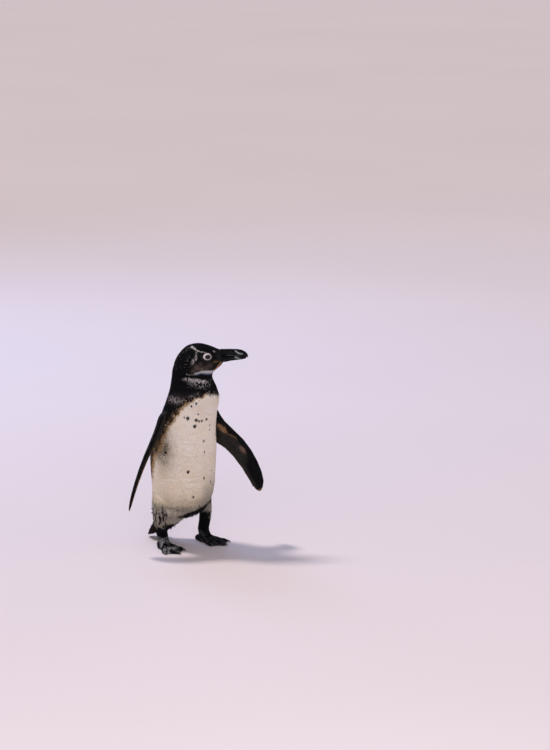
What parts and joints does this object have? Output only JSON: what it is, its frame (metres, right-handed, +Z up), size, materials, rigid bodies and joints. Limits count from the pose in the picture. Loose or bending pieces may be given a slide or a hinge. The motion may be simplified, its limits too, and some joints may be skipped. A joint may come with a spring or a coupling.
{
  "type": "african penguin",
  "caption": "Life-size still model of a young african penguin in mid stride, head turned to its left and flippers held away from the body.",
  "frame": {"origin": "middle of the footprint on the floor the bird stands on", "axes": "+Z up through the standing bird, -Y the way its chest faces, +X to its own left"},
  "size_m": [0.2902, 0.2162, 0.446],
  "materials": {
    "body_plumage": "short dense feathers, soft satin",
    "head_plumage": "short dense feathers, soft satin",
    "flipper_plumage": "short dense feathers, soft satin",
    "tail_plumage": "short dense feathers, soft satin",
    "leg_plumage": "short dense feathers, soft satin",
    "bill_horn": "smooth horn with a pale grey band near the tip",
    "foot_skin": "scaly black skin with pale dry flecks",
    "claw_horn": "dark horn",
    "eye_gloss": "wet gloss"
  },
  "bodies": {
    "root": {"claw_left_hallux": "claw_horn", "claw_left_inner": "claw_horn", "claw_left_middle": "claw_horn", "claw_left_outer": "claw_horn", "claw_right_hallux": "claw_horn", "claw_right_inner": "claw_horn", "claw_right_middle": "claw_horn", "claw_right_outer": "claw_horn", "eye_left": "eye_gloss", "eye_right": "eye_gloss", "flipper_left": "flipper_plumage", "flipper_right": "flipper_plumage", "foot_left": "foot_skin", "foot_right": "foot_skin", "head": "head_plumage", "leg_left": "leg_plumage", "leg_right": "leg_plumage", "lower_bill": "bill_horn", "neck": "head_plumage", "tail": "tail_plumage", "trunk": "body_plumage", "upper_bill": "bill_horn"}
  },
  "joints": []
}
